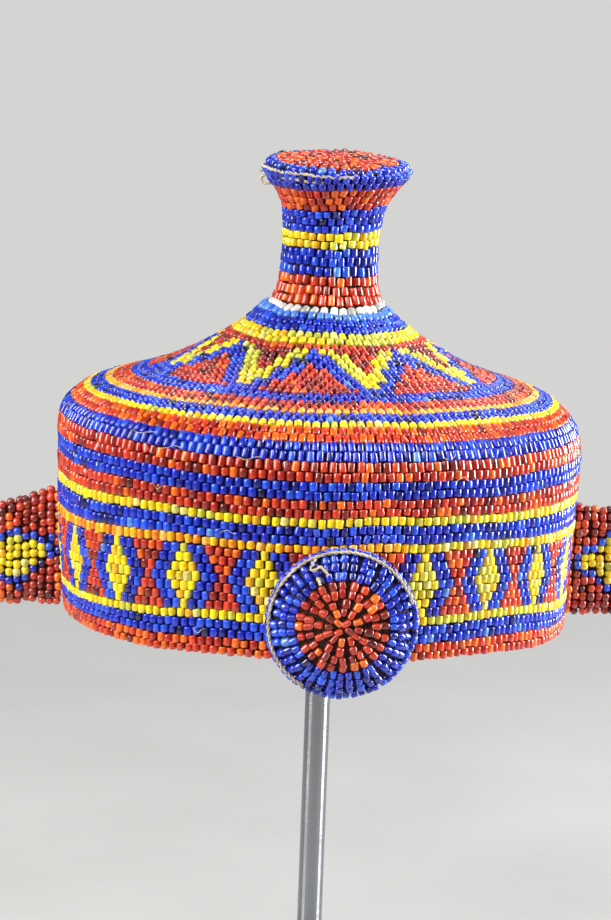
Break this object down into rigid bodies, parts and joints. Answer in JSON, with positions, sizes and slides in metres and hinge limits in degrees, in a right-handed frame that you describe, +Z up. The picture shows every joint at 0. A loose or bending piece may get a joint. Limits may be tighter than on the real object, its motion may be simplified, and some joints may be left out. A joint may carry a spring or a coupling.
{
  "type": "beaded headdress on display stand",
  "caption": "Drum-shaped beaded chief's cap with a cone roof, spool finial, spool boss in front and flat side arms, held on a plain rod stand with a round foot.",
  "frame": {"origin": "centre of the underside of the stand's round foot", "axes": "+Z up, -Y the front of the headdress where the boss stands out, +X the side on the right in the picture"},
  "size_m": [0.272, 0.2277, 0.3323],
  "materials": {
    "beadwork": "opaque glass seed beads in red, blue and yellow, glossy",
    "fibre_backing": "plaited plant fibre and cotton, dry and dull",
    "cream_cord": "twisted cotton, dull",
    "stand_support": "matte black",
    "polished_steel": "finely polished"
  },
  "bodies": {
    "root": {"side_wall": "beadwork", "roof": "beadwork", "finial_neck": "beadwork", "finial_cap": "beadwork", "boss_neck": "beadwork", "boss_cap": "beadwork", "left_arm": "beadwork", "right_arm": "beadwork", "stand_head": "stand_support", "stand_rod": "polished_steel", "stand_base": "polished_steel"}
  },
  "joints": []
}
